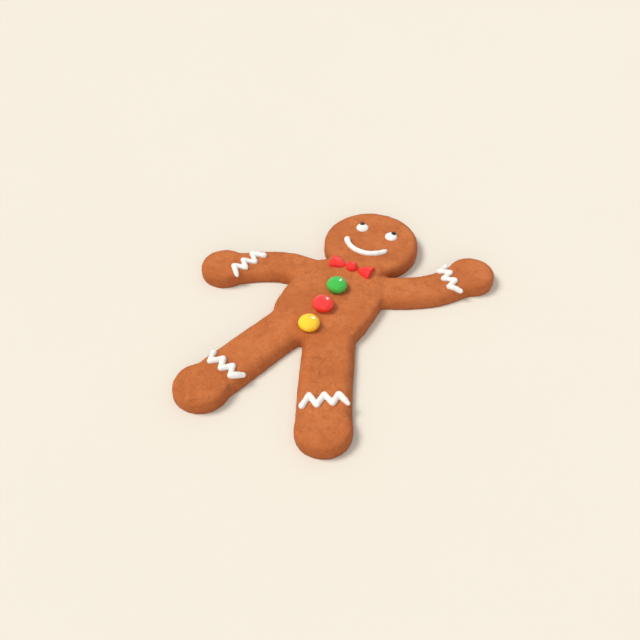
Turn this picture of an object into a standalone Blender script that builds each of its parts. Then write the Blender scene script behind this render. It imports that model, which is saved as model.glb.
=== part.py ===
"""A gingerbread man biscuit with piped icing, a bow tie and three sugar-shelled buttons.

The dough is one slab: head, body, two arms and two legs that ran together in the oven, flat underneath.
What is stuck on it, the four zigzag cuffs, the smile, the eyes, the bow tie and the buttons, are pieces of
their own. The figure lies on its back with +Y towards the head and +Z up. One arm waves.

Shapes are drawn from the middle of the belly, with the figure's own midline at x = 0. The frame empty then
carries them all, so that the origin is under the middle of the outline. All sizes are in millimetres here.
"""

import math

import bmesh
import bpy
from mathutils import Matrix, Vector
from mathutils.bvhtree import BVHTree

MM = 0.001

# The slab, before the rims are rounded by the oven.
HEAD = {"at": (0.0, 38.2), "radius": 18.6, "top": 5.6, "rim": 1.4}
BELLY = {"at": (-0.1, 1.3), "half_width": 18.0, "half_length": 22.6, "top": 5.1, "rim": 1.6, "squareness": 2.9}
PALMS = {
    "left": {"at": (-45.2, 0.3), "radius": 8.9, "top": 5.1, "rim": 1.4},
    "right": {"at": (41.7, 39.1), "radius": 8.9, "top": 5.1, "rim": 1.4},
}
SOLES = {
    "left": {"at": (-20.3, -55.8), "radius": 9.8, "top": 5.1, "rim": 1.4},
    "right": {"at": (25.1, -53.5), "radius": 9.7, "top": 5.1, "rim": 1.4},
}
ARMS = {
    "left": {"half_width": 7.8, "centre": 0.8, "half_height": 5.6, "top": 4.7},
    "right": {"half_width": 7.7, "centre": 0.8, "half_height": 5.6, "top": 4.7},
}
LEGS = {
    "left": {"half_width": 9.2, "centre": 0.8, "half_height": 5.8, "top": 4.8},
    "right": {"half_width": 9.7, "centre": 0.8, "half_height": 5.8, "top": 4.8},
}
ARM_PATHS = {
    "left": [(-4.0, 13.3), (-12.0, 13.4), (-20.0, 13.0), (-26.0, 12.0), (-31.5, 9.6), (-36.5, 6.6), (-41.0, 3.3)],
    "right": [(4.0, 13.0), (11.0, 14.8), (17.0, 17.1), (23.6, 20.4), (29.2, 24.1), (33.0, 27.8), (38.0, 34.6)],
}
LEG_PATHS = {
    "left": [(-7.4, -12.0), (-10.8, -23.0), (-14.7, -36.0), (-19.3, -51.5)],
    "right": [(7.0, -12.0), (11.5, -23.1), (17.7, -37.7), (23.8, -50.8)],
}

# How the lumps melt together.
BELOW = 3.0  # the lumps reach this far under the tray before the slab is cut flat
VOXEL = 0.7
MELT_ROUNDS = 6
MELT_SHARE = 0.5
SLAB_FACES = 6400

GAP = 0.3  # kept between pieces that rest on each other

# Piped royal icing.
BEAD = 1.1  # radius of a piped line
BEAD_LIFT = 0.35  # of the radius that the line's middle stands over the dough
BEAD_VOXEL = 0.3
BEAD_SHARE = 0.096
CUFF_TEETH = 3
CUFF_POINTS_A_STROKE = 4
CUFFS = {
    "left_arm": {"at": (-37.4, 4.5), "across": -103.3, "width": 15.8, "depth": 3.9, "first": -1},
    "right_arm": {"at": (35.4, 31.7), "across": -45.3, "width": 15.2, "depth": 3.6, "first": -1},
    "left_leg": {"at": (-16.9, -45.5), "across": -14.8, "width": 15.0, "depth": 3.8, "first": -1},
    "right_leg": {"at": (20.7, -43.7), "across": 31.1, "width": 15.8, "depth": 3.9, "first": 1},
}
SMILE = {"middle": (-0.3, 39.2), "radius": 9.6, "from": 209.0, "to": 331.0, "points": 15}

EYES = {"left": (-6.4, 43.8), "right": (6.2, 43.8)}
EYE = {"radius": 2.45, "height": 1.25}
PUPIL = {"radius": 0.95, "height": 0.6, "up": 1.0, "out": 0.5}

BOW_Y = 20.2
BOW_KNOT = {"radius": 2.15, "height": 1.9}
BOW_WING = {"tip": 2.6, "end": 8.7, "half_width": 3.5, "height": 2.5}

BUTTON_YS = {"green": 7.3, "red": -4.1, "yellow": -15.3}
BUTTON = {"radius": 4.05, "half_height": 2.7, "lift": 1.6}


def clear_scene():
    for obj in list(bpy.data.objects):
        bpy.data.objects.remove(obj, do_unlink=True)


def new_collection(name):
    found = bpy.data.collections.new(name)
    bpy.context.scene.collection.children.link(found)
    return found


def finish(name, colour, roughness):
    made = bpy.data.materials.new(name)
    made.use_nodes = True
    shader = made.node_tree.nodes["Principled BSDF"]
    shader.inputs["Base Color"].default_value = (*colour, 1.0)
    shader.inputs["Roughness"].default_value = roughness
    shader.inputs["Metallic"].default_value = 0.0
    return made


def add_object(name, mesh, collection):
    obj = bpy.data.objects.new(name, mesh)
    collection.objects.link(obj)
    return obj


def mesh_from(name, bm):
    mesh = bpy.data.meshes.new(name)
    bm.to_mesh(mesh)
    bm.free()
    return mesh


def settle(obj):
    """Applies the object's modifiers, so that its mesh is what they make."""
    graph = bpy.context.evaluated_depsgraph_get()
    mesh = bpy.data.meshes.new_from_object(obj.evaluated_get(graph))
    obj.modifiers.clear()
    obj.data = mesh


def disc(name, spec, collection):
    """A flat disc or oval with a rounded upper rim, reaching below the tray."""
    half_width = spec.get("radius", spec.get("half_width"))
    half_length = spec.get("radius", spec.get("half_length"))
    power = 2.0 / spec.get("squareness", 2.0)
    depth = spec["top"] + BELOW
    bm = bmesh.new()
    bmesh.ops.create_cone(bm, cap_ends=True, segments=64, radius1=1.0, radius2=1.0, depth=depth * MM)
    for vert in bm.verts:
        x, y = vert.co.x, vert.co.y
        vert.co.x = math.copysign(abs(x) ** power, x) * half_width * MM
        vert.co.y = math.copysign(abs(y) ** power, y) * half_length * MM
    middle = Vector((*spec["at"], spec["top"] - depth / 2)) * MM
    bmesh.ops.translate(bm, verts=bm.verts, vec=middle)
    level = middle.z
    rim = [e for e in bm.edges if all(v.co.z > level for v in e.verts)]
    bmesh.ops.bevel(bm, geom=rim, offset=spec["rim"] * MM, segments=5, profile=0.5, affect="EDGES")
    return add_object(name, mesh_from(name, bm), collection)


def mesh_of_curve(curve_obj, name, collection):
    """The curve's tube as a closed mesh, with its caps welded. The curve is removed."""
    bpy.context.view_layer.update()
    graph = bpy.context.evaluated_depsgraph_get()
    mesh = bpy.data.meshes.new_from_object(curve_obj.evaluated_get(graph))
    mesh.transform(curve_obj.matrix_world)
    bm = bmesh.new()
    bm.from_mesh(mesh)
    bmesh.ops.remove_doubles(bm, verts=bm.verts, dist=1e-6)
    bmesh.ops.recalc_face_normals(bm, faces=bm.faces)
    bm.to_mesh(mesh)
    bm.free()
    bpy.data.objects.remove(curve_obj)
    return add_object(name, mesh, collection)


def tube(name, points, radius, sides, collection):
    """A tube along the points, with closed ends. sides is the curve's bevel_resolution."""
    curve = bpy.data.curves.new(name, "CURVE")
    curve.dimensions = "3D"
    curve.bevel_depth = radius * MM
    curve.bevel_resolution = sides
    curve.use_fill_caps = True
    spline = curve.splines.new("POLY")
    spline.points.add(len(points) - 1)
    for point, place in zip(spline.points, points):
        point.co = (*(c * MM for c in place), 1.0)
    return add_object(name, curve, collection)


def smooth_path(points, steps):
    """Points along a Catmull-Rom curve through the given ones."""
    ends = [points[0], *points, points[-1]]
    path = []
    for i in range(len(points) - 1):
        a, b, c, d = (Vector(p) for p in ends[i : i + 4])
        for s in range(steps):
            t = s / steps
            path.append(
                0.5 * (2 * b + (c - a) * t + (2 * a - 5 * b + 4 * c - d) * t**2 + (3 * b - a - 3 * c + d) * t**3)
            )
    return [*path, Vector(points[-1])]


def limb(name, points, spec, collection):
    """A rolled sausage of dough along the points, pressed oval and then levelled on top."""
    path = [(p.x, p.y, 0.0) for p in smooth_path(points, 5)]
    roll = tube(name + "_roll", path, spec["half_width"], 5, collection)
    roll.scale.z = spec["half_height"] / spec["half_width"]
    roll.location.z = spec["centre"] * MM
    made = mesh_of_curve(roll, name, collection)
    cut_level(made.data, spec["top"], keep_above=False)
    return made


def lumps(collection):
    """The separate lumps of dough, before baking."""
    made = [disc("head", HEAD, collection), disc("belly", BELLY, collection)]
    for side in ("left", "right"):
        made.append(disc(f"palm_{side}", PALMS[side], collection))
        made.append(disc(f"sole_{side}", SOLES[side], collection))
        made.append(limb(f"arm_{side}", ARM_PATHS[side], ARMS[side], collection))
        made.append(limb(f"leg_{side}", LEG_PATHS[side], LEGS[side], collection))
    return made


def cut_level(mesh, z, keep_above):
    """Cuts the mesh level at a height and closes it with one flat face."""
    bm = bmesh.new()
    bm.from_mesh(mesh)
    everything = bm.verts[:] + bm.edges[:] + bm.faces[:]
    bmesh.ops.bisect_plane(
        bm, geom=everything, dist=1e-7, plane_co=(0, 0, z * MM), plane_no=(0, 0, 1),
        clear_inner=keep_above, clear_outer=not keep_above,
    )
    rim = [e for e in bm.edges if e.is_boundary]
    bmesh.ops.edgeloop_fill(bm, edges=rim)
    bmesh.ops.recalc_face_normals(bm, faces=bm.faces)
    bm.to_mesh(mesh)
    bm.free()


def bake_slab(collection, tools):
    """The lumps joined, melted into each other, thinned to few faces and cut flat underneath."""
    parts = lumps(tools)
    slab = add_object("dough", parts[0].data.copy(), collection)
    for lump in parts[1:]:
        join = slab.modifiers.new(f"join_{lump.name}", "BOOLEAN")
        join.operation = "UNION"
        join.object = lump
    melt = slab.modifiers.new("melt", "REMESH")
    melt.mode = "VOXEL"
    melt.voxel_size = VOXEL * MM
    slump = slab.modifiers.new("slump", "SMOOTH")
    slump.iterations = MELT_ROUNDS
    slump.factor = MELT_SHARE
    settle(slab)
    thin = slab.modifiers.new("thin", "DECIMATE")
    thin.ratio = SLAB_FACES / (2 * len(slab.data.polygons))
    settle(slab)
    cut_level(slab.data, 0.0, keep_above=True)
    return slab


def grown(slab, tools):
    """The slab with GAP added all round: what is stuck on the dough is cut by it."""
    cutter = add_object("dough_grown", slab.data.copy(), tools)
    swell = cutter.modifiers.new("swell", "DISPLACE")
    swell.strength = GAP * MM
    swell.mid_level = 0.0
    settle(cutter)
    return cutter


def top_of(slab):
    """A function that gives the height of the dough's top over a point."""
    tree = BVHTree.FromPolygons([v.co for v in slab.data.vertices], [p.vertices[:] for p in slab.data.polygons])

    def height(x, y):
        hit = tree.ray_cast(Vector((x * MM, y * MM, 0.1)), Vector((0, 0, -1)))[0]
        return hit.z / MM if hit else 0.0

    return height


def stick_on(obj, cutter):
    """Cuts the underside of a piece to the dough's surface, less the gap."""
    cut = obj.modifiers.new("fit_to_dough", "BOOLEAN")
    cut.operation = "DIFFERENCE"
    cut.object = cutter
    settle(obj)
    keep_largest(obj.data)


def keep_largest(mesh):
    """Drops the slivers that a cut may leave beside the piece."""
    bm = bmesh.new()
    bm.from_mesh(mesh)
    left, groups = set(bm.verts), []
    while left:
        group, front = set(), [next(iter(left))]
        while front:
            vert = front.pop()
            if vert in left:
                left.discard(vert)
                group.add(vert)
                front += [e.other_vert(vert) for e in vert.link_edges]
        groups.append(group)
    groups.sort(key=len)
    for group in groups[:-1]:
        bmesh.ops.delete(bm, geom=list(group), context="VERTS")
    bm.to_mesh(mesh)
    bm.free()


def piped(name, route, height, cutter, material, collection):
    """A piped line along the route, lying on the dough. Strokes that touch at a turn run together."""
    points = [(x, y, height(x, y) + BEAD * BEAD_LIFT) for x, y in route]
    line = mesh_of_curve(tube(name + "_line", points, BEAD, 3, collection), name, collection)
    flow = line.modifiers.new("flow", "REMESH")
    flow.mode = "VOXEL"
    flow.voxel_size = BEAD_VOXEL * MM
    settle(line)
    thin = line.modifiers.new("thin", "DECIMATE")
    thin.ratio = BEAD_SHARE
    settle(line)
    line.data.materials.append(material)
    stick_on(line, cutter)
    line.data.shade_smooth()
    return line


def cuff_route(spec):
    """A zigzag over a limb. across is its direction in degrees, and first the side its first corner is on."""
    across = Vector((math.cos(math.radians(spec["across"])), math.sin(math.radians(spec["across"]))))
    along = Vector((across.y, -across.x))
    corners = []
    for i in range(2 * CUFF_TEETH + 1):
        share = i / (2 * CUFF_TEETH) - 0.5
        side = spec["first"] * (-1) ** i
        corners.append(Vector(spec["at"]) + across * (share * spec["width"]) + along * (side * spec["depth"] / 2))
    route = [corners[0]]
    for a, b in zip(corners, corners[1:]):
        route += [a.lerp(b, (s + 1) / CUFF_POINTS_A_STROKE) for s in range(CUFF_POINTS_A_STROKE)]
    softened = [
        route[i] * 0.5 + (route[i - 1] + route[i + 1]) * 0.25 if 0 < i < len(route) - 1 else route[i]
        for i in range(len(route))
    ]
    return [(p.x, p.y) for p in softened]


def smile_route():
    first, last = math.radians(SMILE["from"]), math.radians(SMILE["to"])
    x, y = SMILE["middle"]
    angles = [first + (last - first) * i / (SMILE["points"] - 1) for i in range(SMILE["points"])]
    return [(x + SMILE["radius"] * math.cos(a), y + SMILE["radius"] * math.sin(a)) for a in angles]


def drop(name, at, radius, half_height, middle_z, cutter, material, collection):
    """A flattened ball set on the dough, or on the drop below it, and cut to fit."""
    bm = bmesh.new()
    bmesh.ops.create_uvsphere(bm, u_segments=20, v_segments=12, radius=MM)
    bmesh.ops.scale(bm, vec=(radius, radius, half_height), verts=bm.verts)
    bmesh.ops.translate(bm, vec=Vector((*at, middle_z)) * MM, verts=bm.verts)
    made = add_object(name, mesh_from(name, bm), collection)
    made.data.materials.append(material)
    stick_on(made, cutter)
    made.data.shade_smooth()
    return made


def eye(side, height, cutter, white, black, collection, tools):
    x, y = EYES[side]
    top = height(x, y)
    ball = drop(f"eye_{side}", (x, y), EYE["radius"], EYE["height"], top, cutter, white, collection)
    outward = math.copysign(PUPIL["out"], x)
    below = grown(ball, tools)
    lift = EYE["height"] * 0.9
    drop(
        f"pupil_{side}", (x + outward, y + PUPIL["up"]), PUPIL["radius"], PUPIL["height"], top + lift,
        below, black, collection,
    )


def wing(side, height, cutter, material, collection):
    """One half of the bow: a cone lying on its side, its point at the knot."""
    sign = -1 if side == "left" else 1
    length = BOW_WING["end"] - BOW_WING["tip"]
    bm = bmesh.new()
    bmesh.ops.create_cone(
        bm, cap_ends=True, segments=20, radius1=BOW_WING["half_width"] * MM,
        radius2=0.35 * MM, depth=length * MM,
    )
    bmesh.ops.rotate(bm, verts=bm.verts, cent=(0, 0, 0), matrix=Matrix.Rotation(-sign * math.pi / 2, 3, "Y"))
    bmesh.ops.scale(bm, vec=(1, 1, BOW_WING["height"] / BOW_WING["half_width"]), verts=bm.verts)
    end = [e for e in bm.edges if all(abs(v.co.x + -sign * length / 2 * MM) < 1e-6 for v in e.verts)]
    bmesh.ops.bevel(bm, geom=end, offset=0.5 * MM, segments=3, profile=0.5, affect="EDGES")
    x = sign * (BOW_WING["tip"] + BOW_WING["end"]) / 2
    bmesh.ops.translate(bm, vec=Vector((x, BOW_Y, height(x, BOW_Y))) * MM, verts=bm.verts)
    made = add_object(f"bow_{side}", mesh_from("wing", bm), collection)
    made.data.materials.append(material)
    stick_on(made, cutter)
    made.data.shade_smooth()
    made.data.set_sharp_from_angle(angle=math.radians(40))
    return made


def main():
    clear_scene()
    cookie = new_collection("gingerbread_man")
    tools = new_collection("tools")
    baked = finish("gingerbread", (0.45, 0.17, 0.07), 0.8)
    icing = finish("white_icing", (0.9, 0.88, 0.84), 0.55)
    black = finish("black_icing", (0.02, 0.02, 0.02), 0.4)
    red_icing = finish("red_icing", (0.75, 0.03, 0.03), 0.45)
    shells = {
        "green": finish("green_shell", (0.05, 0.45, 0.08), 0.2),
        "red": finish("red_shell", (0.8, 0.03, 0.03), 0.2),
        "yellow": finish("yellow_shell", (0.95, 0.6, 0.04), 0.2),
    }

    dough = bake_slab(cookie, tools)
    dough.data.materials.append(baked)
    dough.data.shade_smooth()
    dough.data.set_sharp_from_angle(angle=math.radians(50))
    height = top_of(dough)
    cutter = grown(dough, tools)

    for name, spec in CUFFS.items():
        piped(f"cuff_{name}", cuff_route(spec), height, cutter, icing, cookie)
    piped("smile", smile_route(), height, cutter, icing, cookie)
    for side in ("left", "right"):
        eye(side, height, cutter, icing, black, cookie, tools)
        wing(side, height, cutter, red_icing, cookie)
    drop(
        "bow_knot", (0.0, BOW_Y), BOW_KNOT["radius"], BOW_KNOT["height"], height(0.0, BOW_Y) + 0.4,
        cutter, red_icing, cookie,
    )
    for colour, y in BUTTON_YS.items():
        drop(
            f"button_{colour}", (0.0, y), BUTTON["radius"], BUTTON["half_height"], height(0.0, y) + BUTTON["lift"],
            cutter, shells[colour], cookie,
        )

    for helper in tools.objects:
        helper.hide_render = True
        helper.display_type = "WIRE"

    xs = [v.co.x for v in dough.data.vertices]
    ys = [v.co.y for v in dough.data.vertices]
    frame = bpy.data.objects.new("frame", None)
    cookie.objects.link(frame)
    frame.location = (-(min(xs) + max(xs)) / 2, -(min(ys) + max(ys)) / 2, 0.0)
    for obj in cookie.objects:
        if obj.type == "MESH":
            obj.parent = frame


main()
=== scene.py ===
"""The looks of a gingerbread man biscuit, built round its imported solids.

The baked slab, the piped royal icing, the red bow tie and the sugar-shelled buttons are each finer pieces
than their solids, at the same places. Lengths are in metres, and MM turns millimetres into them.
"""

import logging
import math
import random
from collections.abc import Sequence
from dataclasses import dataclass, field
from enum import Enum
from typing import Any

import bmesh
import bpy
import numpy as np
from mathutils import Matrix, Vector
from mathutils.bvhtree import BVHTree
from mathutils.kdtree import KDTree


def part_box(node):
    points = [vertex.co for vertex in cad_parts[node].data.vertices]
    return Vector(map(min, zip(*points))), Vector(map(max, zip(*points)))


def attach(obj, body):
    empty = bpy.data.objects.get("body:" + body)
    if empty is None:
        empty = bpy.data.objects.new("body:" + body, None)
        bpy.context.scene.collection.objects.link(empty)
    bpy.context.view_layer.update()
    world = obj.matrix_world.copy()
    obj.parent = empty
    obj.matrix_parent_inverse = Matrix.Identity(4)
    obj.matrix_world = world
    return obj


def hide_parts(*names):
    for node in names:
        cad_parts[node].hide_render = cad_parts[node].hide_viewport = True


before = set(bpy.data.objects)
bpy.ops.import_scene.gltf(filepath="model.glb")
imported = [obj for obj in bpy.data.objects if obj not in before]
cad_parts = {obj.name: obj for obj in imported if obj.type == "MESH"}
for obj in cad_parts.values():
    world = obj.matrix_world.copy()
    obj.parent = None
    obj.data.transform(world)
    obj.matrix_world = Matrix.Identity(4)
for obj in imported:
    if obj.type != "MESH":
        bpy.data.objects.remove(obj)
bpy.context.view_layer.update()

log = logging.getLogger("gingerbread")
MM = 0.001
Colour = tuple[float, float, float]


class Side(Enum):
    """The figure's two sides, by the sign of X."""

    LEFT = "left"
    RIGHT = "right"

    @property
    def sign(self) -> int:
        """-1 on the left and 1 on the right."""
        return -1 if self is Side.LEFT else 1


class Shell(Enum):
    """The colours of the sugar-shelled buttons, from the neck down."""

    GREEN = "green"
    RED = "red"
    YELLOW = "yellow"


# --------------------------------------------------------------------------------------------------
# Shader maths
# --------------------------------------------------------------------------------------------------


class Signal:
    """A number that changes over a surface: a shader socket that takes part in arithmetic."""

    def __init__(self, recipe: "Recipe", socket: bpy.types.NodeSocket) -> None:
        """Wraps a socket.

        Args:
            recipe: The material that the socket is in.
            socket: An output of one of its nodes.
        """
        self.recipe = recipe
        self.socket = socket

    def combine(self, operation: str, *terms: Any, clamp: bool = False) -> "Signal":
        """Adds a Math node.

        Args:
            operation: The node's operation.
            terms: Its inputs in order, signals or numbers.
            clamp: Whether the result is kept between 0 and 1.

        Returns:
            The node's result.
        """
        settings = {"operation": operation, "use_clamp": clamp}
        node = self.recipe.add("ShaderNodeMath", settings, dict(enumerate(terms)))
        return Signal(self.recipe, node.outputs[0])

    def __add__(self, other: Any) -> "Signal":
        """self + other."""
        return self.combine("ADD", self, other)

    __radd__ = __add__

    def __sub__(self, other: Any) -> "Signal":
        """self - other."""
        return self.combine("SUBTRACT", self, other)

    def __rsub__(self, other: Any) -> "Signal":
        """other - self."""
        return self.combine("SUBTRACT", other, self)

    def __mul__(self, other: Any) -> "Signal":
        """self * other."""
        return self.combine("MULTIPLY", self, other)

    __rmul__ = __mul__

    def limited(self) -> "Signal":
        """The signal kept between 0 and 1."""
        return self.combine("ADD", self, 0.0, clamp=True)

    def rising(self, low: float, high: float) -> "Signal":
        """A soft step.

        Args:
            low: Where the step is still 0.
            high: Where it has reached 1. Below low, the step falls instead.

        Returns:
            The step, between 0 and 1.
        """
        sockets = {"Value": self, "From Min": low, "From Max": high}
        node = self.recipe.add("ShaderNodeMapRange", {"interpolation_type": "SMOOTHSTEP"}, sockets)
        return Signal(self.recipe, node.outputs["Result"])


class Recipe:
    """A material under construction."""

    def __init__(self, name: str) -> None:
        """Starts a material with its Principled shader.

        Args:
            name: The material's name.
        """
        self.material = bpy.data.materials.new(name)
        self.material.use_nodes = True
        self.tree = self.material.node_tree
        self.shader = self.tree.nodes["Principled BSDF"]
        self.place = self.add("ShaderNodeTexCoord").outputs["Object"]

    def add(
        self, kind: str, settings: dict[str, Any] | None = None, sockets: dict[Any, Any] | None = None
    ) -> bpy.types.Node:
        """Adds a node.

        Args:
            kind: The node's type.
            settings: Its properties, which are set first.
            sockets: Its inputs by name or number, each a value, a socket or a Signal.

        Returns:
            The node.
        """
        node = self.tree.nodes.new(kind)
        for key, value in (settings or {}).items():
            setattr(node, key, value)
        for key, value in (sockets or {}).items():
            self.feed(node.inputs[key], value)
        return node

    def feed(self, socket: bpy.types.NodeSocket, value: Any) -> None:
        """Sets or links an input.

        Args:
            socket: The input.
            value: A number, a colour, a socket or a Signal.
        """
        if isinstance(value, Signal):
            value = value.socket
        if isinstance(value, bpy.types.NodeSocket):
            self.tree.links.new(value, socket)
        elif isinstance(value, tuple) and len(value) == 3 and socket.type == "RGBA":
            socket.default_value = (*value, 1.0)
        else:
            socket.default_value = value

    def shifted(self, offset: float) -> bpy.types.NodeSocket:
        """The place on the surface, moved so that two patterns of one kind differ.

        Args:
            offset: How far it is moved along each axis, in metres.

        Returns:
            The moved place.
        """
        sockets = {"Vector": self.place, "Location": (offset, offset * 0.7, offset * 1.3)}
        return self.add("ShaderNodeMapping", None, sockets).outputs["Vector"]

    def noise(self, size: float, detail: float = 2.0, rough: float = 0.5, warp: float = 0.0) -> Signal:
        """Cloudy noise.

        Args:
            size: The size of its patches, in metres.
            detail: How many finer layers it has.
            rough: How strong the finer layers are.
            warp: How far it is twisted.

        Returns:
            The noise, about 0.5 in the middle.
        """
        sockets = {
            "Vector": self.shifted(size * 3.7), "Scale": 1.0 / size, "Detail": detail,
            "Roughness": rough, "Distortion": warp,
        }
        return Signal(self, self.add("ShaderNodeTexNoise", None, sockets).outputs[0])

    def cells(self, size: float, feature: str = "F1", place: Any = None) -> bpy.types.Node:
        """A Voronoi pattern.

        Args:
            size: The size of its cells, in metres.
            feature: The node's feature.
            place: Where it is read, if not at the plain place.

        Returns:
            The node.
        """
        sockets = {"Vector": place or self.shifted(size * 5.3), "Scale": 1.0 / size}
        return self.add("ShaderNodeTexVoronoi", {"feature": feature}, sockets)

    def dots(self, size: float, radius: float, share: float) -> Signal:
        """Scattered round dots.

        Args:
            size: The mean distance between the places where a dot can be.
            radius: A dot's radius, as a share of size.
            share: The share of those places that have one.

        Returns:
            1 in the dots and 0 between them, with a soft rim.
        """
        node = self.cells(size)
        there = Signal(self, self.add("ShaderNodeSeparateColor", None, {0: node.outputs["Color"]}).outputs[0])
        near = Signal(self, node.outputs["Distance"]).rising(radius, radius * 0.45)
        return near * there.rising(share + 0.01, share - 0.01)

    def attribute(self, name: str) -> Signal:
        """A number that the piece's mesh carries, by its name."""
        node = self.add("ShaderNodeAttribute", {"attribute_name": name})
        return Signal(self, node.outputs["Fac"])

    def blend(self, factor: Any, first: Any, second: Any, how: str = "MIX") -> bpy.types.NodeSocket:
        """Mixes two colours.

        Args:
            factor: 0 for the first colour and 1 for the second.
            first: A colour or a socket.
            second: A colour or a socket.
            how: The node's blend type.

        Returns:
            The mixed colour.
        """
        settings = {"data_type": "RGBA", "blend_type": how}
        return self.add("ShaderNodeMix", settings, {0: factor, 6: first, 7: second}).outputs[2]

    def relief(self, height: Signal, depth: float) -> bpy.types.NodeSocket:
        """Turns a height into a normal.

        Args:
            height: The relief, between 0 and 1.
            depth: What 1 stands for, in metres.

        Returns:
            The normal.
        """
        return self.add("ShaderNodeBump", None, {"Height": height, "Distance": depth}).outputs["Normal"]

    def done(self, **sockets: Any) -> bpy.types.Material:
        """Feeds the shader.

        Args:
            sockets: Values by the names of the shader's inputs, with _ for a space.

        Returns:
            The material.
        """
        for name, value in sockets.items():
            self.feed(self.shader.inputs[name.replace("_", " ")], value)
        return self.material


# --------------------------------------------------------------------------------------------------
# Finishes
# --------------------------------------------------------------------------------------------------


@dataclass(frozen=True)
class BakedCrust:
    """Baked gingerbread: blotchy brown, darker at rims, spice specks; painted shade in its pores and cracks.
    """

    pale: Colour = (0.530, 0.162, 0.048)
    middle: Colour = (0.460, 0.128, 0.035)
    deep: Colour = (0.360, 0.092, 0.025)
    toasted_and_hollow_shade: Colour = (0.270, 0.069, 0.020)
    spice: Colour = (0.124, 0.027, 0.008)
    flour: Colour = (0.63, 0.27, 0.113)
    blotch_size: float = 13 * MM
    mottle_size: float = 3.2 * MM
    crumb_size: float = 0.85 * MM
    patch_size: float = 8 * MM
    pit_size: float = 1.3 * MM
    pinhole_size: float = 0.55 * MM
    speck_size: float = 2.1 * MM
    crack_size: float = 7.5 * MM
    crack_bend: float = 2.2 * MM
    crack_stray: float = 1.6 * MM
    relief: float = 0.27 * MM

    def make(self) -> bpy.types.Material:
        """The material."""
        mix = Recipe("baked_gingerbread")
        blotch = mix.noise(self.blotch_size, 3.0, 0.5).rising(0.34, 0.66)
        mottle = mix.noise(self.mottle_size, 5.0, 0.62, 0.4)
        crumb = mix.noise(self.crumb_size, 4.0, 0.65, 0.2)
        patches = mix.noise(self.patch_size, 1.0).rising(0.40, 0.62)
        pits = mix.dots(self.pit_size, 0.21, 0.40) * (0.25 + 0.75 * patches)
        pinholes = mix.dots(self.pinhole_size, 0.28, 0.30)
        cracks = self._cracks(mix)
        toast = (mix.attribute("toast") * (0.7 + 0.6 * mottle)).limited()

        colour = mix.blend(blotch, self.middle, self.pale)
        colour = mix.blend(mottle.rising(0.56, 0.32) * 0.55, colour, self.deep)
        colour = mix.blend(crumb.rising(0.50, 0.34) * 0.35, colour, self.deep)
        colour = mix.blend(toast, colour, self.toasted_and_hollow_shade)
        colour = mix.blend(crumb.rising(0.56, 0.72) * 0.35, colour, self.flour)
        colour = mix.blend(mix.dots(self.speck_size, 0.10, 0.5) * 0.6, colour, self.spice)
        # Painted shade: pits, pinholes and cracks are darkened towards the toasted colour, as shade in their
        # hollows.
        colour = mix.blend((pits * 0.4 + pinholes * 0.22 + cracks * 0.3).limited(), colour, self.toasted_and_hollow_shade)

        height = 0.5 + 0.40 * (mottle - 0.5) + 0.55 * (crumb - 0.5)
        height = height - 0.7 * pits - 0.3 * pinholes - 0.35 * cracks
        return mix.done(
            Base_Color=colour, Roughness=0.62 + 0.3 * crumb, Normal=mix.relief(height, self.relief),
            Specular_IOR_Level=0.2,
        )

    def _cracks(self, mix: Recipe) -> Signal:
        """Hairline cracks, in patches where the dough dried out.

        Args:
            mix: The material.

        Returns:
            1 along the middle of a crack.
        """
        sockets = {"Vector": mix.place, "Scale": 1.0 / self.crack_bend, "Detail": 3.0}
        bend = mix.add("ShaderNodeTexNoise", None, sockets).outputs["Color"]
        sockets = {0: bend, "Scale": self.crack_stray}
        moved = mix.add("ShaderNodeVectorMath", {"operation": "SCALE"}, sockets).outputs[0]
        place = mix.add("ShaderNodeVectorMath", {"operation": "ADD"}, {0: mix.place, 1: moved}).outputs[0]
        edges = mix.cells(self.crack_size, "DISTANCE_TO_EDGE", place)
        line = Signal(mix, edges.outputs["Distance"]).rising(0.016, 0.003)
        return line * mix.noise(self.patch_size, 2.0).rising(0.55, 0.70)


@dataclass(frozen=True)
class RoyalIcing:
    """Dried royal icing: slightly satin, with a fine sugar grain and a few burst air bubbles with painted
    shade in them.
    """

    name: str = "royal_icing"
    colour: Colour = (0.80, 0.785, 0.755)
    tint_and_bubble_shade: Colour = (0.71, 0.68, 0.63)
    rough: float = 0.42
    glow: float = 0.12
    relief: float = 0.09 * MM

    def make(self) -> bpy.types.Material:
        """The material."""
        mix = Recipe(self.name)
        cloud = mix.noise(1.8 * MM, 3.0, 0.55)
        sugar = mix.noise(0.16 * MM, 2.0, 0.6)
        bubbles = mix.dots(0.9 * MM, 0.13, 0.22)
        colour = mix.blend(cloud.rising(0.45, 0.75) * 0.5, self.colour, self.tint_and_bubble_shade)
        # Painted shade: the hollows of the burst bubbles are mixed towards the tint, which is darker than the
        # white and the red icing.
        colour = mix.blend(bubbles * 0.5, colour, self.tint_and_bubble_shade)
        height = 0.5 + 0.5 * (cloud - 0.5) + 0.22 * (sugar - 0.5) - 0.6 * bubbles
        return mix.done(
            Base_Color=colour, Roughness=self.rough + 0.2 * sugar, Normal=mix.relief(height, self.relief),
            Subsurface_Weight=self.glow, Subsurface_Scale=0.6 * MM, Specular_IOR_Level=0.45,
        )


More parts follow.
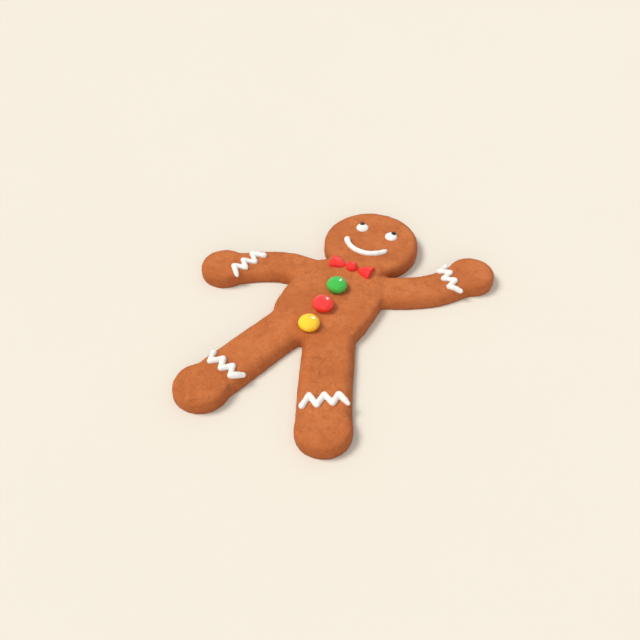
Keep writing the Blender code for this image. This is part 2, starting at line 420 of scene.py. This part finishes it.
@dataclass(frozen=True)
class SugarShell:
    """The polished sugar shell of a chocolate lentil: a clear gloss over slightly uneven colour."""

    name: str
    colour: Colour
    shade: Colour
    relief: float = 0.035 * MM

    def make(self) -> bpy.types.Material:
        """The material."""
        mix = Recipe(self.name)
        cloud = mix.noise(1.7 * MM, 3.0, 0.55)
        peel = mix.noise(0.75 * MM, 1.0)
        dust = mix.dots(0.7 * MM, 0.12, 0.25)
        colour = mix.blend(cloud.rising(0.40, 0.72) * 0.6, self.colour, self.shade)
        colour = mix.blend(dust * 0.25, colour, self.shade)
        height = 0.5 + 0.6 * (peel - 0.5) - 0.25 * dust
        return mix.done(
            Base_Color=colour, Roughness=0.20 + 0.12 * cloud, Normal=mix.relief(height, self.relief),
            Coat_Weight=0.7, Coat_Roughness=0.07, Specular_IOR_Level=0.5,
        )


@dataclass(frozen=True)
class PaleFloor:
    """A plain pale floor."""

    colour: Colour = (0.72, 0.673, 0.587)
    darker: float = 0.985

    def make(self) -> bpy.types.Material:
        """The material."""
        mix = Recipe("pale_floor")
        shade = tuple(part * self.darker for part in self.colour)
        colour = mix.blend(mix.noise(60 * MM, 2.0), self.colour, shade)
        return mix.done(Base_Color=colour, Roughness=0.85, Specular_IOR_Level=0.1)


# --------------------------------------------------------------------------------------------------
# The bench: what every piece is made with
# --------------------------------------------------------------------------------------------------


class Bench:
    """The modelling steps that several pieces share."""

    @staticmethod
    def clear() -> None:
        """Leaves edit mode and deselects everything."""
        if bpy.context.mode != "OBJECT":
            bpy.ops.object.mode_set(mode="OBJECT")
        bpy.ops.object.select_all(action="DESELECT")

    @staticmethod
    def pick(piece: bpy.types.Object) -> None:
        """Makes a piece the one that operators act on."""
        Bench.clear()
        piece.select_set(True)
        bpy.context.view_layer.objects.active = piece

    @staticmethod
    def named(name: str) -> bpy.types.Object:
        """Names the piece that was just added and puts its place into its mesh.

        Args:
            name: The piece's name.

        Returns:
            The piece, with its object at the origin.
        """
        piece = bpy.context.object
        piece.name = name
        piece.data.name = name
        bpy.ops.object.transform_apply(location=True, rotation=True, scale=True)
        return piece

    @staticmethod
    def copy_of(node: str, name: str) -> bpy.types.Object:
        """A copy of a solid with its loose triangles merged.

        Args:
            node: The solid's node.
            name: The copy's name.

        Returns:
            The copy.
        """
        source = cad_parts[node]
        piece = bpy.data.objects.new(name, source.data.copy())
        bpy.context.scene.collection.objects.link(piece)
        piece.data.materials.clear()
        Bench.pick(piece)
        bpy.ops.object.mode_set(mode="EDIT")
        bpy.ops.mesh.select_all(action="SELECT")
        bpy.ops.mesh.remove_doubles(threshold=0.001 * MM)
        bpy.ops.object.mode_set(mode="OBJECT")
        return piece

    @staticmethod
    def apply(piece: bpy.types.Object, kind: str, **settings: Any) -> None:
        """Adds a modifier and applies it.

        Args:
            piece: The piece.
            kind: The modifier's type.
            settings: Its properties.
        """
        Bench.pick(piece)
        modifier = piece.modifiers.new(kind.lower(), kind)
        for key, value in settings.items():
            setattr(modifier, key, value)
        bpy.ops.object.modifier_apply(modifier=modifier.name)

    @staticmethod
    def fuse(piece: bpy.types.Object, voxel: float, rounds: int) -> None:
        """Melts a piece into one even skin.

        Args:
            piece: The piece.
            voxel: The size of the skin's faces.
            rounds: How many times it is smoothed.
        """
        Bench.apply(piece, "REMESH", mode="VOXEL", voxel_size=voxel)
        Bench.apply(piece, "SMOOTH", iterations=rounds, factor=0.5)

    @staticmethod
    def swell(piece: bpy.types.Object, size: float, depth: float) -> None:
        """Makes a piece uneven.

        Args:
            piece: The piece.
            size: The size of the swells.
            depth: Their full depth, from the lowest to the highest.
        """
        pattern = bpy.data.textures.new(f"{piece.name}_{size:.5f}", "CLOUDS")
        pattern.noise_scale = size
        Bench.apply(
            piece, "DISPLACE", texture=pattern, texture_coords="LOCAL", strength=depth, mid_level=0.5,
        )

    @staticmethod
    def dress(piece: bpy.types.Object, material: bpy.types.Material, slot: str, node: str) -> None:
        """Gives a finished piece its material and its place in the frame.

        Args:
            piece: The piece.
            material: Its finish.
            slot: The record's material slot; not used.
            node: The solid that it stands for.
        """
        piece.data.materials.clear()
        piece.data.materials.append(material)
        Bench.pick(piece)
        bpy.ops.object.shade_smooth()
        Bench.clear()
        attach(piece, "root")
        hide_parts(node)
        log.info("%s: %d faces, for %s", piece.name, len(piece.data.polygons), node)

    @staticmethod
    def middle_of(node: str) -> Vector:
        """The middle of a solid's box."""
        low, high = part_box(node)
        return (Vector(low) + Vector(high)) / 2


# --------------------------------------------------------------------------------------------------
# The dough
# --------------------------------------------------------------------------------------------------


@dataclass
class Dough:
    """The baked slab: an uneven top, small dents and blisters, and a flat underside."""

    crust: BakedCrust = field(default_factory=BakedCrust)
    voxel: float = 0.43 * MM
    melt_rounds: int = 7
    swells: tuple[tuple[float, float], ...] = (
        (17 * MM, 0.42 * MM), (5.5 * MM, 0.27 * MM), (1.7 * MM, 0.12 * MM),
    )
    dents: int = 120
    dent_radius: tuple[float, float] = (0.5 * MM, 1.3 * MM)
    dent_depth: tuple[float, float] = (0.05 * MM, 0.20 * MM)
    blister_share: float = 0.3
    blister_height: float = 0.7
    underside: float = 0.45 * MM
    rim_reach: float = 1.7 * MM
    rim_toast: float = 0.36
    foot_toast: float = 0.34
    tray_toast: float = 0.5
    seed: int = 7
    piece: bpy.types.Object | None = None
    surface: BVHTree | None = None

    def build(self) -> None:
        """Makes the slab from the solid."""
        self.piece = Bench.copy_of("dough", "baked_dough")
        Bench.fuse(self.piece, self.voxel, self.melt_rounds)
        for size, depth in self.swells:
            Bench.swell(self.piece, size, depth)
        points, normals = self._read()
        self._dent(points, normals)
        self._flatten(points)
        self.piece.data.vertices.foreach_set("co", points.ravel())
        self.piece.data.update()
        self._toast()
        self.surface = BVHTree.FromPolygons(
            [v.co for v in self.piece.data.vertices], [p.vertices[:] for p in self.piece.data.polygons]
        )

    def _read(self) -> tuple[np.ndarray, np.ndarray]:
        """The slab's points and their normals, as arrays of three columns."""
        mesh = self.piece.data
        points = np.empty(len(mesh.vertices) * 3)
        normals = np.empty(len(mesh.vertices) * 3)
        mesh.vertices.foreach_get("co", points)
        mesh.vertices.foreach_get("normal", normals)
        return points.reshape(-1, 3), normals.reshape(-1, 3)

    def _dent(self, points: np.ndarray, normals: np.ndarray) -> None:
        """Presses small burst bubbles into the crust, and raises a few blisters.

        Args:
            points: The slab's points, which are moved.
            normals: Their normals.
        """
        rng = np.random.default_rng(self.seed)
        not_under = -0.3
        crust = np.flatnonzero(normals[:, 2] > not_under)
        for centre in points[rng.choice(crust, self.dents, replace=False)]:
            radius = rng.uniform(*self.dent_radius)
            depth = rng.uniform(*self.dent_depth)
            if rng.random() < self.blister_share:
                depth *= -self.blister_height
            away = np.linalg.norm(points - centre, axis=1)
            near = away < radius
            points[near] -= normals[near] * (depth * np.cos(away[near] / radius * math.pi / 2) ** 2)[:, None]

    def _flatten(self, points: np.ndarray) -> None:
        """Lays the underside on the tray.

        Args:
            points: The slab's points, which are moved.
        """
        low = points[:, 2] < self.underside
        points[low, 2] = 0.0

    def _toast(self) -> None:
        """Stores how browned each point is: most along the rim, on thin edges and underneath."""
        points, normals = self._read()
        steep, facing_down = 0.35, -0.6
        flanks = np.flatnonzero(np.abs(normals[:, 2]) < steep)
        tree = KDTree(len(flanks))
        for i, index in enumerate(flanks):
            tree.insert((points[index, 0], points[index, 1], 0.0), i)
        tree.balance()
        away = np.array([tree.find((x, y, 0.0))[2] for x, y, _ in points])
        rim = np.exp(-((away / self.rim_reach) ** 2))
        height = points[:, 2] / points[:, 2].max()
        toast = self.rim_toast * rim * (0.35 + 0.65 * height) + self.foot_toast * (1.0 - height) ** 3
        toast = np.where(normals[:, 2] < facing_down, self.tray_toast, toast)
        layer = self.piece.data.attributes.new("toast", "FLOAT", "POINT")
        layer.data.foreach_set("value", np.clip(toast, 0.0, 1.0).astype(np.float32))

    def dress(self) -> None:
        """Gives the slab its crust."""
        Bench.dress(self.piece, self.crust.make(), "gingerbread", "dough")

    def top(self, x: float, y: float) -> float | None:
        """The height of the dough over a point, or None beside the figure."""
        well_above = 50 * MM
        hit = self.surface.ray_cast(Vector((x, y, well_above)), Vector((0, 0, -1)))[0]
        return hit.z if hit else None


# --------------------------------------------------------------------------------------------------
# Icing
# --------------------------------------------------------------------------------------------------


@dataclass
class PipedLine:
    """A line of icing squeezed through a round nozzle along a route on the dough.

    It starts with a slightly fuller blob, gathers a little at its corners and is drawn out to a tail.
    """

    name: str
    node: str
    dough: Dough
    radius: float = 1.1 * MM
    lift: float = 0.38 * MM
    step: float = 0.34 * MM
    uneven: float = 0.045
    steadiness: float = 0.8
    corner_reach: float = 0.9 * MM
    corner_gain: float = 0.07
    blob_drops: int = 3
    blob_gain: float = 1.06
    tail: float = 1.5 * MM
    tail_end: float = 0.78
    sag: float = 1.3 * MM
    voxel: float = 0.155 * MM
    melt_rounds: int = 9
    seed: int = 1
    piece: bpy.types.Object | None = None

    def route(self) -> list[Vector]:
        """The corners of the line, about its own middle. Each kind of line has its own."""
        raise NotImplementedError

    def _placed(self) -> list[Vector]:
        """The route with its box's middle at the solid's."""
        corners = self.route()
        middle = Bench.middle_of(self.node)
        for axis in (0, 1):
            values = [corner[axis] for corner in corners]
            shift = middle[axis] - (min(values) + max(values)) / 2
            for corner in corners:
                corner[axis] += shift
        return corners

    def _stations(self) -> list[tuple[Vector, float]]:
        """Points at even steps along the line, each with how near a corner it is."""
        corners = self._placed()
        lengths = [(b - a).length for a, b in zip(corners, corners[1:])]
        count = round(sum(lengths) / self.step)
        stations = []
        for i in range(count + 1):
            along = sum(lengths) * i / count
            leg = 0
            while leg < len(lengths) - 1 and along > lengths[leg]:
                along -= lengths[leg]
                leg += 1
            share = min(along / lengths[leg], 1.0)
            away = min(share, 1 - share) * lengths[leg]
            near = math.exp(-((away / self.corner_reach) ** 2))
            stations.append((corners[leg].lerp(corners[leg + 1], share), near))
        return stations

    def _heights(self, stations: list[tuple[Vector, float]]) -> list[float]:
        """The dough's height under each station. Past an edge the icing sags only so far.

        Args:
            stations: The line's points.

        Returns:
            The heights.
        """
        heights = [self.dough.top(point.x, point.y) for point, _ in stations]
        lowest = max(height for height in heights if height is not None) - self.sag
        return [lowest if height is None else max(height, lowest) for height in heights]

    def build(self) -> None:
        """Squeezes the line out drop by drop, then lets the drops run together."""
        rng = random.Random(self.seed)
        stations = self._stations()
        heights = self._heights(stations)
        drift = 0.0
        Bench.clear()
        for i, ((place, corner), height) in enumerate(zip(stations, heights)):
            near = heights[max(i - 2, 0) : i + 3]
            height = sum(near) / len(near)
            drift = self.steadiness * drift + rng.gauss(0.0, self.uneven * 0.6)
            left = (len(stations) - 1 - i) * self.step
            radius = self.radius * (0.97 + self.corner_gain * corner + drift)
            if i < self.blob_drops:
                radius *= self.blob_gain
            if left < self.tail:
                radius *= self.tail_end + (1 - self.tail_end) * left / self.tail
            centre = (place.x, place.y, height + self.lift)
            bpy.ops.mesh.primitive_ico_sphere_add(subdivisions=3, radius=radius, location=centre)
            if i == 0:
                self.piece = Bench.named(self.name)
                bpy.ops.object.mode_set(mode="EDIT")
        bpy.ops.object.mode_set(mode="OBJECT")
        Bench.fuse(self.piece, self.voxel, self.melt_rounds)
        Bench.swell(self.piece, 1.1 * MM, 0.10 * MM)

    def dress(self, material: bpy.types.Material) -> None:
        """Gives the line its icing."""
        Bench.dress(self.piece, material, "white_icing", self.node)


@dataclass
class Cuff(PipedLine):
    """A zigzag over a wrist or an ankle."""

    across: float = 0.0
    width: float = 15.0 * MM
    depth: float = 3.9 * MM
    first: int = 1
    teeth: int = 3
    wobble: float = 0.16 * MM

    def route(self) -> list[Vector]:
        """The zigzag's corners, each a little off its even place."""
        own_draws = 100
        rng = random.Random(self.seed + own_draws)
        angle = math.radians(self.across)
        across = Vector((math.cos(angle), math.sin(angle), 0.0))
        along = Vector((across.y, -across.x, 0.0))
        corners = []
        for i in range(2 * self.teeth + 1):
            share = i / (2 * self.teeth) - 0.5
            side = self.first * (-1) ** i
            slip = rng.uniform(-self.wobble, self.wobble)
            corners.append(across * (share * self.width + slip) + along * (side * self.depth / 2 - slip))
        return corners


@dataclass
class Smile(PipedLine):
    """The mouth: an arc that curls up towards the cheeks."""

    bend: float = 9.6 * MM
    start: float = 211.5
    end: float = 330.0
    legs: int = 24

    def route(self) -> list[Vector]:
        """Points along the arc."""
        corners = []
        for i in range(self.legs + 1):
            angle = math.radians(self.start + (self.end - self.start) * i / self.legs)
            corners.append(Vector((math.cos(angle), math.sin(angle), 0.0)) * self.bend)
        return corners


@dataclass
class Drop:
    """A round drop of icing that settled on what is under it, and sinks into it a little."""

    name: str
    node: str
    slot: str
    radius: float
    height: float
    sink: float
    uneven: float = 0.08 * MM
    piece: bpy.types.Object | None = None

    def build(self) -> None:
        """Makes the drop as a flattened ball and cuts it off below its foot."""
        low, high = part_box(self.node)
        middle = Bench.middle_of(self.node)
        Bench.clear()
        centre = (middle.x, middle.y, high[2] - self.height)
        bpy.ops.mesh.primitive_uv_sphere_add(segments=64, ring_count=40, radius=1.0, location=centre)
        bpy.ops.object.mode_set(mode="EDIT")
        bpy.ops.transform.resize(value=(self.radius, self.radius, self.height), center_override=centre)
        bpy.ops.object.mode_set(mode="OBJECT")
        self.piece = Bench.named(self.name)
        self._cut_foot(low[2] - self.sink, centre)
        Bench.swell(self.piece, self.radius * 0.9, self.uneven)

    def _cut_foot(self, foot: float, centre: tuple[float, float, float]) -> None:
        """Cuts the ball off below its foot.

        Args:
            foot: The height of the cut, inside what the drop sits on.
            centre: The ball's middle.
        """
        Bench.pick(self.piece)
        bpy.ops.object.mode_set(mode="EDIT")
        bpy.ops.mesh.select_all(action="SELECT")
        bpy.ops.mesh.bisect(
            plane_co=(centre[0], centre[1], foot), plane_no=(0, 0, 1), use_fill=True, clear_inner=True
        )
        bpy.ops.object.mode_set(mode="OBJECT")

    def dress(self, material: bpy.types.Material) -> None:
        """Gives the drop its finish."""
        Bench.dress(self.piece, material, self.slot, self.node)


@dataclass
class Eye:
    """A white drop with a smaller black one on it, looking up and outwards."""

    side: Side
    parts: list[Drop] = field(default_factory=list)

    def build(self) -> None:
        """Makes both drops."""
        name = self.side.value
        self.parts = [
            Drop(
                f"icing_eye_{name}", f"eye_{name}", "white_icing",
                radius=2.45 * MM, height=1.25 * MM, sink=0.7 * MM,
            ),
            Drop(
                f"icing_pupil_{name}", f"pupil_{name}", "black_icing",
                radius=0.98 * MM, height=0.62 * MM, sink=0.35 * MM, uneven=0.03 * MM,
            ),
        ]
        for part in self.parts:
            part.build()

    def dress(self, white: bpy.types.Material, black: bpy.types.Material) -> None:
        """Gives the drops their icing."""
        for part, material in zip(self.parts, (white, black)):
            part.dress(material)


@dataclass
class BowTie:
    """Two pleated wings of red icing and a round knot."""

    dough: Dough
    half_width: float = 3.5 * MM
    half_height: float = 2.5 * MM
    tip: float = 1.2 * MM
    tuck: float = 1.0 * MM
    pleats: int = 4
    pleat_depth: float = 0.24 * MM
    pleat_twist: float = 0.25
    puff: float = 0.10
    hollow: float = 0.55 * MM
    rim: float = 0.7 * MM
    voxel: float = 0.15 * MM
    melt_rounds: int = 3
    wings: list[bpy.types.Object] = field(default_factory=list)
    knot: Drop | None = None

    def build(self) -> None:
        """Makes the wings and the knot."""
        for side in Side:
            self.wings.append(self._wing(side))
        self.knot = Drop(
            "icing_bow_knot", "bow_knot", "red_icing",
            radius=2.2 * MM, height=1.9 * MM, sink=0.8 * MM, uneven=0.1 * MM,
        )
        self.knot.build()

    def _wing(self, side: Side) -> bpy.types.Object:
        """One wing: a cone on its side, with a hollow end and pleats that run to the knot.

        Args:
            side: Which wing it is.

        Returns:
            The wing.
        """
        low, high = (Vector(corner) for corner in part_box(f"bow_{side.value}"))
        length = high.x - low.x + self.tuck
        middle = (low + high) / 2
        middle.x -= side.sign * self.tuck / 2
        ground = self.dough.top(middle.x, middle.y)
        Bench.clear()
        bpy.ops.mesh.primitive_cone_add(
            vertices=40, radius1=self.half_width, radius2=self.tip, depth=length,
            location=(middle.x, middle.y, ground), rotation=(0, -side.sign * math.pi / 2, 0),
        )
        wing = Bench.named(f"icing_bow_{side.value}")
        outer = middle.x + side.sign * length / 2
        self._hollow_end(wing, outer, side)
        self._squash(wing, Vector((middle.x, middle.y, ground)))
        Bench.apply(wing, "SUBSURF", levels=2, render_levels=2)
        Bench.fuse(wing, self.voxel, self.melt_rounds)
        self._pleat(wing, Vector((outer, middle.y, ground)), length)
        Bench.swell(wing, 1.6 * MM, 0.10 * MM)
        return wing

    def _hollow_end(self, wing: bpy.types.Object, outer: float, side: Side) -> None:
        """Insets the wing's wide end and pushes it in, with a rolled rim.

        Args:
            wing: The wing.
            outer: The X of the wide end.
            side: Which wing it is.
        """
        Bench.pick(wing)
        bpy.ops.object.mode_set(mode="EDIT")
        bpy.ops.mesh.select_mode(type="FACE")
        self._select_end(wing, outer)
        bpy.ops.mesh.inset(thickness=self.rim)
        bpy.ops.transform.translate(value=(-side.sign * self.hollow, 0, 0))
        bpy.ops.mesh.inset(thickness=0.9 * MM)
        bpy.ops.transform.translate(value=(side.sign * self.hollow * 0.3, 0, 0))
        bpy.ops.object.mode_set(mode="OBJECT")

    @staticmethod
    def _select_end(wing: bpy.types.Object, outer: float) -> None:
        """Selects the faces of the wide end.

        Args:
            wing: The wing, in edit mode.
            outer: The X of the wide end.
        """
        bpy.ops.mesh.select_all(action="DESELECT")
        bm = bmesh.from_edit_mesh(wing.data)
        for face in bm.faces:
            face.select = all(abs(vert.co.x - outer) < 0.01 * MM for vert in face.verts)
        bmesh.update_edit_mesh(wing.data)

    def _squash(self, wing: bpy.types.Object, centre: Vector) -> None:
        """Presses the cone lower than it is wide.

        Args:
            wing: The wing.
            centre: The point that it is pressed towards.
        """
        Bench.pick(wing)
        bpy.ops.object.mode_set(mode="EDIT")
        bpy.ops.mesh.select_all(action="SELECT")
        flatness = self.half_height / self.half_width
        bpy.ops.transform.resize(value=(1, 1, flatness), center_override=tuple(centre))
        bpy.ops.object.mode_set(mode="OBJECT")

    def _pleat(self, wing: bpy.types.Object, end: Vector, length: float) -> None:
        """Draws soft pleats along the wing, deepest near its wide end.

        Args:
            wing: The wing.
            end: The middle of its wide end.
            length: The wing's length.
        """
        core = 0.2 * MM
        for vert in wing.data.vertices:
            arm = Vector((0.0, vert.co.y - end.y, vert.co.z - end.z))
            if arm.length < core:
                continue
            share = min(max(1.0 - abs(vert.co.x - end.x) / length, 0.0), 1.0)
            angle = math.atan2(arm.z, arm.y) + self.pleat_twist * share
            fold = self.pleat_depth * abs(math.sin(self.pleats * angle)) ** 0.7 * share * (1.3 - share) * 2
            puffed = arm * (self.puff * math.sin(math.pi * share))
            vert.co += puffed + arm.normalized() * (fold - self.pleat_depth * 0.6)

    def dress(self, material: bpy.types.Material) -> None:
        """Gives the bow its red icing."""
        for side, wing in zip(Side, self.wings):
            Bench.dress(wing, material, "red_icing", f"bow_{side.value}")
        self.knot.dress(material)


# --------------------------------------------------------------------------------------------------
# Buttons
# --------------------------------------------------------------------------------------------------


@dataclass
class Button:
    """A sugar-shelled lentil pressed lightly into the dough."""

    shell: Shell
    finish: SugarShell
    half_height: float = 2.68 * MM
    out_of_round: float = 0.03
    seed: int = 0
    piece: bpy.types.Object | None = None

    def build(self) -> None:
        """Makes the lentil: a flattened ball, not quite round."""
        node = f"button_{self.shell.value}"
        low, high = (Vector(corner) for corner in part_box(node))
        middle = (low + high) / 2
        radius = (high.x - low.x) / 2
        centre = Vector((middle.x, middle.y, high.z - self.half_height))
        rng = random.Random(self.seed)
        Bench.clear()
        bpy.ops.mesh.primitive_uv_sphere_add(segments=96, ring_count=64, radius=1.0, location=centre)
        bpy.ops.object.mode_set(mode="EDIT")
        wide = [radius * (1.0 - rng.uniform(0.0, self.out_of_round)) for _ in range(2)]
        bpy.ops.transform.resize(value=(*wide, self.half_height), center_override=tuple(centre))
        bpy.ops.object.mode_set(mode="OBJECT")
        self.piece = Bench.named(f"sugar_button_{self.shell.value}")
        Bench.swell(self.piece, 3.0 * MM, 0.07 * MM)

    def dress(self) -> None:
        """Gives the lentil its shell."""
        name = self.shell.value
        Bench.dress(self.piece, self.finish.make(), f"{name}_shell", f"button_{name}")


# --------------------------------------------------------------------------------------------------
# The studio
# --------------------------------------------------------------------------------------------------


@dataclass(frozen=True)
class SoftSun:
    """A soft light that is as bright all over the floor, and that the gloss doesn't mirror.

    way is the direction from the figure to the light, and spread, in degrees, is how soft its shadows are.
    """

    name: str
    way: tuple[float, float, float]
    strength: float
    spread: float
    colour: Colour


@dataclass
class Studio:
    """The floor, the soft light and the camera."""

    eye: tuple[float, float, float] = (105.25 * MM, -205.4 * MM, 225.1 * MM)
    aim: tuple[float, float, float] = (1.53 * MM, -1.82 * MM, 0.0)
    lens: float = 48.77
    sensor: float = 36.0
    sky: Colour = (1.0, 0.985, 0.96)
    sky_strength: float = 0.55
    backdrop: Colour = (0.92, 0.86, 0.745)
    key: SoftSun = SoftSun("key", (-0.548, -0.150, 0.819), 2.43, 26.0, (1.0, 0.99, 0.97))
    fill: SoftSun = SoftSun("fill", (0.40, -0.85, 0.35), 1.15, 60.0, (0.99, 0.995, 1.0))
    glint_way: tuple[float, float, float] = (-0.025, 0.819, 0.573)
    glint_size: float = 75 * MM
    glint_power: float = 0.9
    light_distance: float = 600 * MM
    floor_width: float = 40.0

    def build(self) -> None:
        """Sets the studio up."""
        self._floor()
        self._camera()
        self._sun(self.key)
        self._sun(self.fill)
        self._glint()
        self._surround()
        bpy.context.scene.view_settings.view_transform = "Standard"

    def _surround(self) -> None:
        """Lights the studio evenly from all round, in front of a backdrop as pale as the lit floor."""
        world = bpy.data.worlds.new("studio")
        bpy.context.scene.world = world
        world.use_nodes = True
        tree = world.node_tree
        light = tree.nodes["Background"]
        light.inputs["Color"].default_value = (*self.sky, 1.0)
        light.inputs["Strength"].default_value = self.sky_strength
        backdrop = tree.nodes.new("ShaderNodeBackground")
        backdrop.inputs["Color"].default_value = (*self.backdrop, 1.0)
        seen = tree.nodes.new("ShaderNodeLightPath")
        mix = tree.nodes.new("ShaderNodeMixShader")
        tree.links.new(seen.outputs["Is Camera Ray"], mix.inputs[0])
        tree.links.new(light.outputs[0], mix.inputs[1])
        tree.links.new(backdrop.outputs[0], mix.inputs[2])
        tree.links.new(mix.outputs[0], tree.nodes["World Output"].inputs[0])

    def _floor(self) -> None:
        """Lays a wide floor just under the figure."""
        just_under = -0.02 * MM
        Bench.clear()
        bpy.ops.mesh.primitive_plane_add(size=self.floor_width, location=(0, 0, just_under))
        bpy.ops.object.mode_set(mode="EDIT")
        bpy.ops.mesh.subdivide(number_cuts=8)
        bpy.ops.object.mode_set(mode="OBJECT")
        floor = Bench.named("floor")
        floor.data.materials.append(PaleFloor().make())

    def _camera(self) -> None:
        """Points the camera at the figure."""
        data = bpy.data.cameras.new("camera")
        data.lens = self.lens
        data.sensor_width = self.sensor
        data.clip_start = 1 * MM
        camera = bpy.data.objects.new("camera", data)
        bpy.context.scene.collection.objects.link(camera)
        camera.location = self.eye
        look = Vector(self.aim) - Vector(self.eye)
        camera.rotation_euler = look.to_track_quat("-Z", "Y").to_euler()
        bpy.context.scene.camera = camera

    def _hang(self, data: bpy.types.Light, way: Sequence[float], colour: Colour) -> bpy.types.Object:
        """Hangs a light so that it faces the figure.

        Args:
            data: The light.
            way: The direction from the figure to the light.
            colour: Its colour.

        Returns:
            The light's object.
        """
        data.color = colour
        lamp = bpy.data.objects.new(data.name, data)
        bpy.context.scene.collection.objects.link(lamp)
        spot = Vector(way).normalized()
        lamp.location = spot * self.light_distance
        lamp.rotation_euler = (-spot).to_track_quat("-Z", "Y").to_euler()
        return lamp

    def _sun(self, sun: SoftSun) -> None:
        """Hangs one of the soft lights.

        Args:
            sun: The light.
        """
        data = bpy.data.lights.new(sun.name, "SUN")
        data.energy = sun.strength
        data.angle = math.radians(sun.spread)
        self._hang(data, sun.way, sun.colour).visible_glossy = False

    def _glint(self) -> None:
        """Hangs the small light that the sugar shells mirror."""
        data = bpy.data.lights.new("glint", "AREA")
        data.size = self.glint_size
        data.energy = self.glint_power
        self._hang(data, self.glint_way, (1.0, 1.0, 1.0)).visible_diffuse = False


# --------------------------------------------------------------------------------------------------
# Putting it together
# --------------------------------------------------------------------------------------------------


def cuffs(dough: Dough) -> list[Cuff]:
    """The four zigzags, on the wrists and the ankles.

    Args:
        dough: The slab that they lie on.

    Returns:
        The cuffs.
    """
    shapes = {
        "left_arm": {"across": -103.3, "width": 15.2 * MM, "depth": 3.9 * MM, "first": -1},
        "right_arm": {"across": -45.3, "width": 14.2 * MM, "depth": 3.6 * MM, "first": -1},
        "left_leg": {"across": -14.8, "width": 14.8 * MM, "depth": 3.8 * MM, "first": -1},
        "right_leg": {"across": 31.1, "width": 15.1 * MM, "depth": 3.9 * MM, "first": 1},
    }
    return [
        Cuff(f"icing_cuff_{limb}", f"cuff_{limb}", dough, seed=number, **shape)
        for number, (limb, shape) in enumerate(shapes.items(), start=3)
    ]


def buttons() -> list[Button]:
    """The three buttons, from the neck down."""
    finishes = {
        Shell.GREEN: SugarShell("green_shell_gloss", (0.041, 0.485, 0.059), (0.032, 0.395, 0.045)),
        Shell.RED: SugarShell("red_shell_gloss", (0.90, 0.031, 0.026), (0.77, 0.023, 0.020)),
        Shell.YELLOW: SugarShell("yellow_shell_gloss", (0.97, 0.60, 0.018), (0.95, 0.51, 0.014)),
    }
    return [Button(shell, finishes[shell], seed=i) for i, shell in enumerate(Shell)]


def main() -> None:
    """Builds every piece in order."""
    logging.basicConfig(level=logging.INFO, format="%(name)s: %(message)s")
    white = RoyalIcing().make()
    black = RoyalIcing("black_icing_gloss", (0.018, 0.017, 0.018), (0.045, 0.043, 0.045), 0.32, 0.0).make()
    red = RoyalIcing("red_icing_satin", (0.81, 0.033, 0.028), (0.70, 0.025, 0.023), 0.36, 0.05).make()

    dough = Dough()
    dough.build()
    dough.dress()
    for line in [*cuffs(dough), Smile("icing_smile", "smile", dough, seed=2)]:
        line.build()
        line.dress(white)
    for side in Side:
        eye = Eye(side)
        eye.build()
        eye.dress(white, black)
    bow = BowTie(dough)
    bow.build()
    bow.dress(red)
    for button in buttons():
        button.build()
        button.dress()
    Studio().build()


if __name__ == "__main__":
    main()
